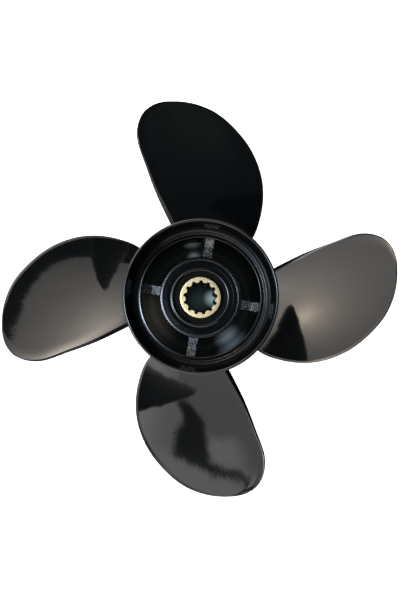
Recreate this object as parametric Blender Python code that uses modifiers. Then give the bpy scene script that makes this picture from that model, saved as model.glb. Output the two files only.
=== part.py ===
"""Four-blade boat propeller with an exhaust passage through its hub.

The shaft axis is +Z and the aft end is up. The origin lies on the axis at the front rim of
the hub, the face that the propeller stands on. Seen from aft, the blades go round
anticlockwise from leading edge to trailing edge and climb aft: a right-hand propeller.
Lengths are metres and angles are degrees.
"""

import math

import bmesh
import bpy
from mathutils import Matrix, Vector

MM = 0.001
GAP = 0.3 * MM

# Blades
BLADE_COUNT = 4
FIRST_BLADE_ANGLE = 7.84
TIP_RADIUS = 147.5 * MM
PITCH = 342.0 * MM
RAKE_ANGLE = 13.5
MID_CHORD_HEIGHT = 57.5 * MM
OUTLINE_STATIONS = (0.0, 0.2, 0.35, 0.5, 0.65, 0.8, 0.9, 1.0)
LEADING_EDGE_ANGLES = (0.0, -11.6, -19.4, -28.5, -37.4, -45.2, -49.5, -49.4)
TRAILING_EDGE_ANGLES = (0.0, 7.7, 11.6, 14.1, 14.5, 14.4, 12.6, 9.3)
ROOT_THICKNESS = 11.0 * MM
TIP_THICKNESS = 3.4 * MM
LEADING_EDGE_THICKNESS = 2.8 * MM
BLUNT_EDGE_THICKNESS = 4.8 * MM
OUTER_EDGE_THICKNESS = 2.4 * MM
BLUNT_EDGE_END = 0.42
THIN_EDGE_START = 0.9
FACE_HOLLOW = 0.006
CUP_START = 0.36
CUP_FULL = 0.62
CUP_CLOSING = 0.985
CUP_HEIGHT = 0.9 * MM
CUP_LENGTH = 9.0 * MM
BLUNT_EDGE_ROUNDING = 0.5 * MM
ROOT_FILLET = 6.5 * MM
FILLET_START = 0.6 * MM
FLARE_FOLLOWED = 12.0 * MM
CHORD_STEPS = 10
ROOT_ROW_STEPS = 5
BLADE_STATIONS = (1.0, 0.994, 0.986, 0.975, 0.955, 0.92, 0.87, 0.81, 0.75, 0.70, 0.66, 0.62)
BLADE_STATIONS += (0.56, 0.50, 0.43, 0.36, 0.29, 0.22, 0.15, 0.09, 0.04)

# Hub barrel and the flared diffuser ring at its aft end
HUB_LENGTH = 104.0 * MM
BARREL_RADIUS = 48.5 * MM
BARREL_BORE = 43.8 * MM
FLARE_START = 56.0 * MM
RIM_RADIUS = 55.1 * MM
RIM_WIDTH = 2.3 * MM
RIM_ROUNDING = 1.5 * MM
RING_JOINT_HEIGHT = 80.0 * MM
LEDGE_HEIGHT = 84.0 * MM
LEDGE_GROOVE = 46.4 * MM
LEDGE_RADIUS = 48.5 * MM
FRONT_EDGE_ROUNDING = 1.5 * MM

# Inner hub and the ribs that carry it
INNER_HUB_FRONT = 5.0 * MM
INNER_HUB_AFT = 76.0 * MM
INNER_HUB_AFT_RADIUS = 30.3 * MM
LIP_RADIUS = 28.1 * MM
LIP_FALL = 0.4 * MM
INNER_HUB_FRONT_RADIUS = 38.4 * MM
INNER_HUB_BORE = 20.0 * MM
BORE_CHAMFER = 1.6 * MM
RIB_WIDTH = 7.0 * MM
FIRST_RIB_ANGLE = 80.4
RIB_FRONT = 8.0 * MM
RIB_AFT = 72.8 * MM
RIB_FALL_ANGLE = 10.0
RIB_SLOPE_WIDTHS = (4.6 * MM, 6.9 * MM, 4.6 * MM, 4.6 * MM)
RIB_SLOPE_RISE = 3.2 * MM

# Rubber bush and the splined brass sleeve bonded into it
BUSH_FRONT = 14.0 * MM
BUSH_AFT = 74.0 * MM
SLEEVE_FRONT = 10.0 * MM
SLEEVE_AFT = 79.0 * MM
SLEEVE_RADIUS = 15.2 * MM
SLEEVE_CHAMFER = 0.4 * MM
SPLINE_TEETH = 13
SPLINE_MINOR_RADIUS = 11.1 * MM
SPLINE_MAJOR_RADIUS = 12.7 * MM
SPLINE_NOTCH_SHARE = 0.46
FIRST_NOTCH_ANGLE = 88.0
TAPER_SEAT_RADIUS = 13.2 * MM
TAPER_SEAT_DEPTH = 9.0 * MM

ROUND_STEPS = 72
SLEEVE_STEPS = 78


def clear_scene():
    for item in list(bpy.data.objects):
        bpy.data.objects.remove(item, do_unlink=True)


def new_collection(name):
    collection = bpy.data.collections.new(name)
    bpy.context.scene.collection.children.link(collection)
    return collection


def material(name, colour, roughness, metallic):
    made = bpy.data.materials.new(name)
    made.use_nodes = True
    shader = made.node_tree.nodes["Principled BSDF"]
    shader.inputs["Base Color"].default_value = (*colour, 1.0)
    shader.inputs["Roughness"].default_value = roughness
    shader.inputs["Metallic"].default_value = metallic
    return made


def add_object(name, mesh, finish, collection):
    item = bpy.data.objects.new(name, mesh)
    item.data.materials.append(finish)
    collection.objects.link(item)
    return item


def shade_round(mesh, sharp_angle=35.0):
    mesh.shade_smooth()
    mesh.set_sharp_from_angle(angle=math.radians(sharp_angle))


def arc(centre, radius, start, end, steps):
    """Points on a circular arc in the plane of radius and height, both ends included."""
    points = []
    for step in range(steps + 1):
        angle = math.radians(start + (end - start) * step / steps)
        points.append((centre[0] + radius * math.cos(angle), centre[1] + radius * math.sin(angle)))
    return points


def turned(name, outline, finish, collection, steps=ROUND_STEPS):
    """A closed outline of (radius, height) points, down its outer side first, spun round Z."""
    mesh = bpy.data.meshes.new(name)
    points = [(radius, 0.0, height) for radius, height in outline]
    edges = [(index, (index + 1) % len(points)) for index in range(len(points))]
    mesh.from_pydata(points, edges, [])
    item = add_object(name, mesh, finish, collection)
    screw = item.modifiers.new("turn", "SCREW")
    screw.axis = "Z"
    screw.steps = steps
    screw.render_steps = steps
    screw.use_merge_vertices = True
    screw.merge_threshold = 0.0001 * MM
    screw.use_smooth_shade = True
    return item


def barrel_radius(height):
    """Outer radius of the hub: straight at first, then one arc that flares out to the rim."""
    rise = RIM_RADIUS - BARREL_RADIUS
    run = HUB_LENGTH - FLARE_START
    flare_radius = (run * run + rise * rise) / (2.0 * rise)
    past = max(height - FLARE_START, 0.0)
    return BARREL_RADIUS + flare_radius - math.sqrt(flare_radius**2 - past**2)


def flare_points(top, bottom, steps):
    points = []
    for step in range(steps + 1):
        height = top + (bottom - top) * step / steps
        points.append((barrel_radius(height), height))
    return points


def make_hub_barrel(finish, collection):
    rounding = FRONT_EDGE_ROUNDING
    outline = flare_points(RING_JOINT_HEIGHT, FLARE_START, 4)
    outline += arc((BARREL_RADIUS - rounding, rounding), rounding, 0.0, -90.0, 4)
    outline += [(BARREL_BORE + 1.0 * MM, 0.0), (BARREL_BORE, 1.0 * MM)]
    outline += [(BARREL_BORE, RING_JOINT_HEIGHT)]
    return turned("hub_barrel", outline, finish, collection)


def make_diffuser_ring(finish, collection):
    """The flared ring: its bore steps out over a ledge with a groove to a wide cone."""
    bottom = RING_JOINT_HEIGHT + GAP
    rounding = RIM_ROUNDING
    inside_rim = RIM_RADIUS - RIM_WIDTH
    outline = arc((RIM_RADIUS - rounding, HUB_LENGTH - rounding), rounding, 90.0, 10.0, 4)
    outline += flare_points(HUB_LENGTH - 2.5 * MM, bottom, 6)
    outline += [(BARREL_BORE, bottom), (BARREL_BORE, LEDGE_HEIGHT + 0.1 * MM)]
    outline += [(BARREL_BORE + 0.5 * MM, LEDGE_HEIGHT + 0.4 * MM), (LEDGE_GROOVE, LEDGE_HEIGHT)]
    outline += [(LEDGE_GROOVE + 0.2 * MM, LEDGE_HEIGHT + 1.0 * MM)]
    outline += [(LEDGE_RADIUS - 0.4 * MM, LEDGE_HEIGHT + 1.3 * MM)]
    outline += [(LEDGE_RADIUS + 0.2 * MM, LEDGE_HEIGHT + 2.0 * MM)]
    outline += [(inside_rim, HUB_LENGTH - 0.7 * MM), (inside_rim + 0.3 * MM, HUB_LENGTH - 0.1 * MM)]
    return turned("diffuser_ring", outline, finish, collection)


def inner_hub_radius(height):
    """Outer radius of the inner hub: a cone that widens forward."""
    share = (INNER_HUB_AFT - height) / (INNER_HUB_AFT - INNER_HUB_FRONT)
    return INNER_HUB_AFT_RADIUS + (INNER_HUB_FRONT_RADIUS - INNER_HUB_AFT_RADIUS) * share


def make_inner_hub(finish, collection):
    outline = [(LIP_RADIUS, INNER_HUB_AFT), (INNER_HUB_AFT_RADIUS - 0.6 * MM, INNER_HUB_AFT - LIP_FALL)]
    outline += [(INNER_HUB_AFT_RADIUS, INNER_HUB_AFT - LIP_FALL - 0.6 * MM)]
    outline += [(INNER_HUB_FRONT_RADIUS, INNER_HUB_FRONT + 1.0 * MM)]
    outline += [(INNER_HUB_FRONT_RADIUS - 1.0 * MM, INNER_HUB_FRONT)]
    outline += [(INNER_HUB_BORE + BORE_CHAMFER, INNER_HUB_FRONT)]
    outline += [(INNER_HUB_BORE, INNER_HUB_FRONT + BORE_CHAMFER)]
    outline += [(INNER_HUB_BORE, INNER_HUB_AFT - BORE_CHAMFER)]
    outline += [(INNER_HUB_BORE + BORE_CHAMFER, INNER_HUB_AFT)]
    return turned("inner_hub", outline, finish, collection)


def rib_outline(slope_width):
    """Side view of a rib as (radius, height): its aft edge falls a little, then slopes up."""
    inner = inner_hub_radius(RIB_AFT) + GAP
    outer = BARREL_BORE - 2.0 * GAP
    lowest = RIB_AFT - (outer - slope_width - inner) * math.tan(math.radians(RIB_FALL_ANGLE))
    outline = [(inner_hub_radius(RIB_FRONT) + GAP, RIB_FRONT), (outer, RIB_FRONT)]
    outline += [(outer, lowest + RIB_SLOPE_RISE), (outer - slope_width, lowest), (inner, RIB_AFT)]
    return outline


def make_rib(number, finish, collection):
    """A flat outline, extruded to the width of the rib and stood up along its own radius."""
    curve = bpy.data.curves.new("rib_outline", "CURVE")
    curve.dimensions = "2D"
    curve.fill_mode = "BOTH"
    curve.extrude = RIB_WIDTH / 2.0
    spline = curve.splines.new("POLY")
    outline = rib_outline(RIB_SLOPE_WIDTHS[number - 1])
    spline.points.add(len(outline) - 1)
    for point, (radius, height) in zip(spline.points, outline):
        point.co = (radius, height, 0.0, 1.0)
    spline.use_cyclic_u = True
    item = add_object(f"rib_{number}", curve, finish, collection)
    angle = math.radians(FIRST_RIB_ANGLE + 360.0 / BLADE_COUNT * (number - 1))
    item.matrix_world = Matrix.Rotation(angle, 4, "Z") @ Matrix.Rotation(math.pi / 2.0, 4, "X")
    return item


def smooth_value(stations, values, place):
    """The value at a place between stations, on a cubic through the given values."""
    last = len(stations) - 1
    index = 0
    while index < last - 1 and place > stations[index + 1]:
        index += 1

    def slope(at):
        before = max(at - 1, 0)
        after = min(at + 1, last)
        return (values[after] - values[before]) / (stations[after] - stations[before])

    width = stations[index + 1] - stations[index]
    share = (place - stations[index]) / width
    rest = 1.0 - share
    start = values[index] * (1.0 + 2.0 * share) * rest**2
    start += slope(index) * width * share * rest**2
    end = values[index + 1] * (3.0 - 2.0 * share) * share**2
    end -= slope(index + 1) * width * share**2 * rest
    return start + end


def smooth_step(low, high, value):
    share = min(max((value - low) / (high - low), 0.0), 1.0)
    return share * share * (3.0 - 2.0 * share)


def blend(start, end, share):
    return start + (end - start) * share


def station_radius(station):
    """Stations crowd towards the tip, where the outline turns fastest: 0 tip, 1 root."""
    return TIP_RADIUS - (TIP_RADIUS - BARREL_RADIUS) * station**2


def fillet_offset(radius):
    """How far the root fillet stands out from the plain section at this radius."""
    height = radius - BARREL_RADIUS + FILLET_START
    if height >= ROOT_FILLET:
        return 0.0
    return ROOT_FILLET - math.sqrt(ROOT_FILLET**2 - (ROOT_FILLET - height) ** 2)


def tip_closing(radius):
    """Thickness factor that closes the last millimetres at the tip in a round edge."""
    reach = TIP_THICKNESS / 2.0
    short = 1.0 - min((TIP_RADIUS - radius) / reach, 1.0)
    return math.sqrt(max(1.0 - short * short, 0.0))


def blade_section(station):
    """One section laid flat: (along the chord, out of the face, outward direction) points.

    The face looks aft and is slightly hollow, the back is an arched ogive. Inboard the
    trailing edge is cut off blunt, and outboard it is round and bent aft as a cup.
    """
    radius = station_radius(station)
    share = (radius - BARREL_RADIUS) / (TIP_RADIUS - BARREL_RADIUS)
    pitch_angle = math.atan2(PITCH, 2.0 * math.pi * radius)
    leading = math.radians(smooth_value(OUTLINE_STATIONS, LEADING_EDGE_ANGLES, station))
    trailing = math.radians(smooth_value(OUTLINE_STATIONS, TRAILING_EDGE_ANGLES, station))
    chord = (trailing - leading) * radius / math.cos(pitch_angle)
    closing = tip_closing(radius)
    sink = (1.0 - closing) * TIP_THICKNESS / 2.0
    outboard = smooth_step(BLUNT_EDGE_END, THIN_EDGE_START, radius / TIP_RADIUS)
    tail_thickness = blend(BLUNT_EDGE_THICKNESS, OUTER_EDGE_THICKNESS, outboard) * closing
    nose_thickness = LEADING_EDGE_THICKNESS * closing
    thickness = blend(ROOT_THICKNESS, TIP_THICKNESS, share**0.8) * closing
    nose = min(nose_thickness, 0.2 * chord)
    tail = min(blend(BLUNT_EDGE_ROUNDING, tail_thickness / 2.0, outboard), 0.2 * chord)
    swell = thickness - (nose_thickness + tail_thickness) / 2.0
    cup = CUP_HEIGHT * smooth_step(CUP_START, CUP_FULL, radius / TIP_RADIUS)
    cup *= min((1.0 - radius / TIP_RADIUS) / (1.0 - CUP_CLOSING), 1.0)

    def face(along):
        x = along / chord
        bent = max(1.0 - (chord - along) / CUP_LENGTH, 0.0)
        return cup * bent**2 - FACE_HOLLOW * chord * 4.0 * x * (1.0 - x) - sink

    def depth(along):
        x = (along - nose) / (chord - nose - tail)
        return blend(nose_thickness, tail_thickness, x) + swell * 4.0 * x * (1.0 - x)

    def place(index):
        share_along = (1.0 - math.cos(math.pi * index / CHORD_STEPS)) / 2.0
        return nose + (chord - nose - tail) * share_along

    places = [place(index) for index in range(CHORD_STEPS + 1)]
    outline = [(along, face(along), 90.0) for along in places]
    for turn in (45.0, 0.0, -45.0):
        along = chord - tail + tail * math.cos(math.radians(turn))
        lift = (math.sin(math.radians(turn)) - 1.0) / 2.0 * tail_thickness
        outline.append((along, face(along) + lift, turn))
    outline += [(along, face(along) - depth(along), -90.0) for along in reversed(places)]
    for turn in (225.0, 180.0, 135.0):
        along = nose + nose * math.cos(math.radians(turn))
        lift = (math.sin(math.radians(turn)) - 1.0) / 2.0 * nose_thickness
        outline.append((along, face(along) + lift, turn))
    return radius, leading, pitch_angle, outline


def wrap(radius, leading, pitch_angle, along, out):
    """Wrap a point of the flat section round the cylinder at this radius.

    Close to the root the sections follow the flare of the barrel, a gap away from it.
    """
    around = leading * radius + along * math.cos(pitch_angle) - out * math.sin(pitch_angle)
    rake = (radius - BARREL_RADIUS) * math.tan(math.radians(RAKE_ANGLE))
    base = MID_CHORD_HEIGHT + rake + leading * PITCH / (2.0 * math.pi)
    height = base + along * math.sin(pitch_angle) + out * math.cos(pitch_angle)
    angle = around / radius
    near = 1.0 - smooth_step(0.0, FLARE_FOLLOWED, radius - BARREL_RADIUS)
    reach = radius + (barrel_radius(height) - BARREL_RADIUS + GAP) * near
    return Vector((reach * math.cos(angle), reach * math.sin(angle), height))


def section_ring(sheet, station):
    radius, leading, pitch_angle, outline = blade_section(station)
    fillet = fillet_offset(radius)
    ring = []
    for along, out, turn in outline:
        along += fillet * math.cos(math.radians(turn))
        out += fillet * math.sin(math.radians(turn))
        ring.append(sheet.verts.new(wrap(radius, leading, pitch_angle, along, out)))
    return ring


def close_tip(sheet, ring):
    middle = sum((vert.co for vert in ring), Vector()) / len(ring)
    scale = TIP_RADIUS / math.hypot(middle.x, middle.y)
    tip = sheet.verts.new((middle.x * scale, middle.y * scale, middle.z))
    for index, vert in enumerate(ring):
        sheet.faces.new((vert, ring[(index + 1) % len(ring)], tip))


def close_root(sheet, ring):
    """Rows of points across the root, bent to the barrel, and a face at each end of them."""
    last = CHORD_STEPS
    rows = []
    for index in range(last + 1):
        upper, lower = ring[index], ring[2 * last + 4 - index]
        row = [upper]
        for step in range(1, ROOT_ROW_STEPS):
            between = upper.co.lerp(lower.co, step / ROOT_ROW_STEPS)
            scale = (barrel_radius(between.z) + GAP) / math.hypot(between.x, between.y)
            row.append(sheet.verts.new((between.x * scale, between.y * scale, between.z)))
        rows.append(row + [lower])
    for row, following in zip(rows, rows[1:]):
        for step in range(ROOT_ROW_STEPS):
            sheet.faces.new((row[step], row[step + 1], following[step + 1], following[step]))
    sheet.faces.new(rows[-1] + ring[last + 3 : last : -1])
    sheet.faces.new(rows[0] + ring[2 * last + 5 :])


def blade_mesh():
    """A loft through the sections from the root to the tip."""
    sheet = bmesh.new()
    rings = [section_ring(sheet, station) for station in BLADE_STATIONS]
    count = len(rings[0])
    for low, high in zip(rings, rings[1:]):
        for index in range(count):
            after = (index + 1) % count
            sheet.faces.new((low[index], low[after], high[after], high[index]))
    close_tip(sheet, rings[-1])
    close_root(sheet, rings[0])
    bmesh.ops.triangulate(sheet, faces=sheet.faces)
    bmesh.ops.recalc_face_normals(sheet, faces=sheet.faces)
    mesh = bpy.data.meshes.new("blade")
    sheet.to_mesh(mesh)
    sheet.free()
    shade_round(mesh)
    return mesh


def make_blades(finish, collection):
    mesh = blade_mesh()
    mesh.materials.append(finish)
    for number in range(BLADE_COUNT):
        blade = bpy.data.objects.new(f"blade_{number + 1}", mesh)
        blade.rotation_euler.z = math.radians(FIRST_BLADE_ANGLE + 360.0 / BLADE_COUNT * number)
        collection.objects.link(blade)


def make_rubber_bush(finish, collection):
    edge = 0.8 * MM
    inner = SLEEVE_RADIUS + GAP
    outer = INNER_HUB_BORE - GAP
    outline = [(outer - edge, BUSH_AFT), (outer, BUSH_AFT - edge), (outer, BUSH_FRONT + edge)]
    outline += [(outer - edge, BUSH_FRONT), (inner, BUSH_FRONT), (inner, BUSH_AFT)]
    return turned("rubber_bush", outline, finish, collection, SLEEVE_STEPS)


def spline_outline():
    """The toothed bore seen from aft: wide notches between teeth with a flat tip."""
    pitch = 2.0 * math.pi / SPLINE_TEETH
    corners = ((-0.5 * SPLINE_NOTCH_SHARE - 0.06, SPLINE_MINOR_RADIUS),)
    corners += ((-0.5 * SPLINE_NOTCH_SHARE + 0.05, SPLINE_MAJOR_RADIUS), (0.0, SPLINE_MAJOR_RADIUS))
    corners += ((0.5 * SPLINE_NOTCH_SHARE - 0.05, SPLINE_MAJOR_RADIUS),)
    corners += ((0.5 * SPLINE_NOTCH_SHARE + 0.06, SPLINE_MINOR_RADIUS), (0.5, SPLINE_MINOR_RADIUS))
    points = []
    for tooth in range(SPLINE_TEETH):
        for offset, radius in corners:
            angle = math.radians(FIRST_NOTCH_ANGLE) + (tooth + offset) * pitch
            points.append((radius * math.cos(angle), radius * math.sin(angle)))
    return points


def make_spline_cutter(collection):
    curve = bpy.data.curves.new("spline_cutter", "CURVE")
    curve.dimensions = "2D"
    curve.fill_mode = "BOTH"
    curve.extrude = (SLEEVE_AFT - SLEEVE_FRONT) / 2.0 + 5.0 * MM
    spline = curve.splines.new("POLY")
    points = spline_outline()
    spline.points.add(len(points) - 1)
    for point, (x, y) in zip(spline.points, points):
        point.co = (x, y, 0.0, 1.0)
    spline.use_cyclic_u = True
    drawn = bpy.data.objects.new("spline_drawn", curve)
    collection.objects.link(drawn)
    bpy.context.view_layer.update()
    graph = bpy.context.evaluated_depsgraph_get()
    mesh = bpy.data.meshes.new_from_object(drawn.evaluated_get(graph))
    bpy.data.objects.remove(drawn, do_unlink=True)
    sheet = bmesh.new()
    sheet.from_mesh(mesh)
    bmesh.ops.remove_doubles(sheet, verts=sheet.verts, dist=0.001 * MM)
    sheet.to_mesh(mesh)
    sheet.free()
    cutter = bpy.data.objects.new("spline_cutter", mesh)
    cutter.location.z = (SLEEVE_AFT + SLEEVE_FRONT) / 2.0
    cutter.hide_render = True
    cutter.display_type = "WIRE"
    collection.objects.link(cutter)
    return cutter


def make_splined_sleeve(finish, collection, cutter):
    """A turned tube with a taper seat in its front end, broached with the splines."""
    edge = SLEEVE_CHAMFER
    pilot = SPLINE_MINOR_RADIUS - 2.0 * MM
    seat_end = SLEEVE_FRONT + TAPER_SEAT_DEPTH
    outline = [(SLEEVE_RADIUS - edge, SLEEVE_AFT), (SLEEVE_RADIUS, SLEEVE_AFT - edge)]
    outline += [(SLEEVE_RADIUS, SLEEVE_FRONT + edge / 2.0), (SLEEVE_RADIUS - edge / 2.0, SLEEVE_FRONT)]
    outline += [(TAPER_SEAT_RADIUS, SLEEVE_FRONT), (SPLINE_MAJOR_RADIUS, seat_end)]
    outline += [(pilot, seat_end), (pilot, SLEEVE_AFT)]
    sleeve = turned("splined_sleeve", outline, finish, collection, SLEEVE_STEPS)
    broach = sleeve.modifiers.new("broach", "BOOLEAN")
    broach.operation = "DIFFERENCE"
    broach.solver = "EXACT"
    broach.object = cutter
    return sleeve


def main():
    clear_scene()
    parts = new_collection("boat_propeller")
    cutters = new_collection("cutters")
    black_paint = material("black_gloss_paint", (0.012, 0.012, 0.012), 0.15, 0.0)
    rubber = material("black_rubber", (0.02, 0.02, 0.02), 0.6, 0.0)
    brass = material("machined_brass", (0.60, 0.48, 0.30), 0.3, 1.0)
    make_hub_barrel(black_paint, parts)
    make_diffuser_ring(black_paint, parts)
    make_inner_hub(black_paint, parts)
    for number in range(1, BLADE_COUNT + 1):
        make_rib(number, black_paint, parts)
    make_blades(black_paint, parts)
    make_rubber_bush(rubber, parts)
    make_splined_sleeve(brass, parts, make_spline_cutter(cutters))


main()
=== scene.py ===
# %% [markdown]
# # A four-blade boat propeller with an exhaust hub
# The propeller stands on the front rim of its hub, so its shaft axis is upright and its aft
# end looks up. On the real one the barrel, the flared ring, the inner hub, the ribs and the
# blades are a single aluminium casting under gloss black paint. A rubber bush is bonded into
# the inner hub, and a toothed brass sleeve into the bush. The frame holds these as separate
# solids at their real size. Here they get their fine shapes, their fillets and their finish.

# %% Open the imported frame
import math

import bmesh
import bpy
from mathutils import Matrix, Vector


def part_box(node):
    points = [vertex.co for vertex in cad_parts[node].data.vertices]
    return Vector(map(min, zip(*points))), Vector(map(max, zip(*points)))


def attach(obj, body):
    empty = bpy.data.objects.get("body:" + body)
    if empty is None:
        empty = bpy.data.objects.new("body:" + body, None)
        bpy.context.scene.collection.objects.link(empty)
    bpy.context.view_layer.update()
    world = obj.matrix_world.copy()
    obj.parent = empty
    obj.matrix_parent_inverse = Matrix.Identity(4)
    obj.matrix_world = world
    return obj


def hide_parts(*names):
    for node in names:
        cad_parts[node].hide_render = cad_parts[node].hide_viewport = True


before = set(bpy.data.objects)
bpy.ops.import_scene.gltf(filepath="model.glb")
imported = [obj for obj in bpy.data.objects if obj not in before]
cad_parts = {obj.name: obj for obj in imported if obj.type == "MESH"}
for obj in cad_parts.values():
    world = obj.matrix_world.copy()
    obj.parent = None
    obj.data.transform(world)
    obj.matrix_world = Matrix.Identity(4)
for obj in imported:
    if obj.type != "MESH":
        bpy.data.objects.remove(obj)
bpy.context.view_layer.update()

# %% [markdown]
# ## Sizes that the frame gives
# The propeller could be drawn from numbers alone, but then it would have to be fitted to the
# solids afterwards. Radii and heights are read from their boxes instead. Only sizes that no box
# can show, such as the bore of a tube, are written down here.

# %% Driving sizes
MM = 0.001

ring_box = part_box("diffuser_ring")
core_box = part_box("inner_hub")
bush_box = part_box("rubber_bush")
sleeve_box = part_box("splined_sleeve")

RIM_RADIUS = ring_box[1].x
HUB_LENGTH = ring_box[1].z
BARREL_RADIUS = 48.5 * MM
BARREL_BORE = 43.8 * MM
FLARE_START = 56.0 * MM
LEDGE_HEIGHT = 84.0 * MM
LEDGE_GROOVE = 46.4 * MM
LEDGE_RADIUS = 48.5 * MM
CORE_FRONT_RADIUS = core_box[1].x
CORE_AFT_RADIUS = 30.3 * MM
CORE_FRONT = core_box[0].z
CORE_AFT = core_box[1].z
CORE_BORE = 20.0 * MM
LIP_INSIDE = 27.9 * MM
SLEEVE_RADIUS = sleeve_box[1].x
SLEEVE_FRONT = sleeve_box[0].z
SLEEVE_AFT = sleeve_box[1].z
BLADE_COUNT = 4

print("rim radius and hub length in mm:", round(RIM_RADIUS / MM, 2), round(HUB_LENGTH / MM, 2))

# %% [markdown]
# ## The camera
# The photograph is taken from almost straight above, from about 0.45 m, with the aft end of
# the shaft leaning a little up and to the right in the picture. An aim constraint could turn the
# camera, but here its three axes are worked out and written into its matrix, so that the shaft
# falls on its own pixel. The lens gives 604 pixels for one unit of sideways distance over depth.

# %% Camera
PICTURE_HEIGHT = 600.0
PIXELS_PER_SLOPE = 603.8
CAMERA_DISTANCE = 0.45
AXIS_POINT = Vector((0.0, 0.0, 75.0 * MM))
TOWARDS_CAMERA = Vector((-0.0116, -0.0302, 1.0)).normalized()
AXIS_PIXEL = (200.40, 297.60)
PICTURE_MIDDLE = (200.0, 300.0)
PICTURE_UP = Vector((0.0, 1.0, 0.0))

camera_right = PICTURE_UP.cross(TOWARDS_CAMERA).normalized()
camera_up = TOWARDS_CAMERA.cross(camera_right)
camera_data = bpy.data.cameras.new("camera")
camera_data.sensor_fit = "AUTO"
camera_data.sensor_width = 36.0
camera_data.lens = PIXELS_PER_SLOPE / PICTURE_HEIGHT * camera_data.sensor_width
camera = bpy.data.objects.new("camera", camera_data)
bpy.context.scene.collection.objects.link(camera)
bpy.context.scene.camera = camera

pixel_size = CAMERA_DISTANCE / PIXELS_PER_SLOPE
aim = AXIS_POINT + camera_right * (PICTURE_MIDDLE[0] - AXIS_PIXEL[0]) * pixel_size
aim -= camera_up * (PICTURE_MIDDLE[1] - AXIS_PIXEL[1]) * pixel_size
eye = AXIS_POINT + TOWARDS_CAMERA * CAMERA_DISTANCE
look = (eye - aim).normalized()
side = PICTURE_UP.cross(look).normalized()
turned_camera = Matrix((side, look.cross(side), look)).transposed().to_4x4()
camera.matrix_world = Matrix.Translation(eye) @ turned_camera
print("camera at", [round(x, 3) for x in eye], "lens", round(camera_data.lens, 1))

# %% [markdown]
# ## Sums in materials
# A material is a graph of nodes, and long graphs are hard to read as links. The class below
# wraps one socket, so that an ordinary expression adds the Math nodes. Any other node comes
# from one method that takes its type, its settings and the values of its sockets.


# %% A value in a material
class Value:
    """A socket of a graph of nodes that takes part in sums."""

    def __init__(self, graph, socket):
        self.graph = graph
        self.socket = socket

    def __add__(self, other):
        return self.graph.calculate("ADD", self, other)

    def __sub__(self, other):
        return self.graph.calculate("SUBTRACT", self, other)

    def __rsub__(self, other):
        return self.graph.calculate("SUBTRACT", other, self)

    def __mul__(self, other):
        return self.graph.calculate("MULTIPLY", self, other)

    __radd__ = __add__
    __rmul__ = __mul__

    def most(self, other):
        return self.graph.calculate("MAXIMUM", self, other)


class Graph:
    """A tree of nodes under construction, with the shader that it ends in."""

    def __init__(self, owner, shader_name):
        owner.use_nodes = True
        self.tree = owner.node_tree
        self.shader = self.tree.nodes[shader_name]

    def node(self, kind, settings, values, output=0):
        made = self.tree.nodes.new(kind)
        for name, setting in settings.items():
            setattr(made, name, setting)
        self.feed(made, values)
        return Value(self, made.outputs[output])

    def feed(self, made, values):
        for name, value in values.items():
            if isinstance(value, Value):
                self.tree.links.new(value.socket, made.inputs[name])
            else:
                made.inputs[name].default_value = value

    def calculate(self, operation, first, second=0.0):
        return self.node("ShaderNodeMath", {"operation": operation}, {0: first, 1: second})

    def noise(self, place, scale, detail=2.0, rough=0.5):
        values = {"Vector": place, "Scale": scale, "Detail": detail, "Roughness": rough}
        return self.node("ShaderNodeTexNoise", {}, values)

    def step(self, value, low, high, start=0.0, end=1.0):
        """A smooth passage from start to end while the value goes from low to high."""
        values = {"Value": value, "From Min": low, "From Max": high, "To Min": start, "To Max": end}
        return self.node("ShaderNodeMapRange", {"interpolation_type": "SMOOTHSTEP"}, values)

    def above(self, value, edge, soft):
        """Zero below an edge and one above it. Soft is the width of the passage between them."""
        return self.step(value, edge - soft / 2.0, edge + soft / 2.0)

    def below(self, value, edge, soft):
        return self.step(value, edge + soft / 2.0, edge - soft / 2.0)

    def between(self, value, low, high, soft):
        return self.above(value, low, soft) * self.below(value, high, soft)

    def mix(self, share, first, second, blend_type="MIX"):
        settings = {"data_type": "RGBA", "blend_type": blend_type, "clamp_factor": False}
        return self.node("ShaderNodeMix", settings, {"Factor": share, 6: first, 7: second}, 2)

    def vector(self, operation, first, second):
        """A number from two vectors, such as their distance."""
        return self.node("ShaderNodeVectorMath", {"operation": operation}, {0: first, 1: second}, "Value")

    def bump(self, height, distance, under=None):
        values = {"Height": height, "Distance": distance, "Strength": 1.0}
        if under is not None:
            values["Normal"] = under
        return self.node("ShaderNodeBump", {}, values)


class Finish(Graph):
    """The material of one finish."""

    def __init__(self, name):
        self.material = bpy.data.materials.new(name)
        super().__init__(self.material, "Principled BSDF")

    def place(self):
        """Where a point of the surface is, in metres in the frame."""
        return self.node("ShaderNodeTexCoord", {}, {}, "Object")


# %% [markdown]
# ## Gloss black paint
# The casting is sprayed with thick gloss paint. Its colour hardly shows: what is seen is the
# reflected light. A plain black with a low roughness would do for a new casting, but it would
# mirror the room without a flaw. So the finish lies in the roughness and in two faint waves of
# the surface, the long one of the hand-ground casting and the short one of the sprayed paint.
# Three places were never ground: the ribs, the outer band of the ledge and the lip of the inner
# hub. There the paint is thin and the grain of the mould shows through.

# %% Where something is on a turned piece


def off_axis(graph, place):
    """Distance from the shaft axis and height, in metres."""
    height = graph.vector("DOT_PRODUCT", place, (0.0, 0.0, 1.0))
    squared = graph.vector("DOT_PRODUCT", place, place) - height * height
    return graph.calculate("SQRT", squared), height


def everywhere(finish, place):
    return 1.0


def outer_ledge(finish, place):
    """The band of the ledge between its groove and the cone of the flared ring."""
    radius, height = off_axis(finish, place)
    across = finish.between(radius, LEDGE_GROOVE + 0.2 * MM, LEDGE_RADIUS - 0.1 * MM, 0.4 * MM)
    return across * finish.between(height, LEDGE_HEIGHT - 0.5 * MM, LEDGE_HEIGHT + 3.5 * MM, 1.0 * MM)


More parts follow.
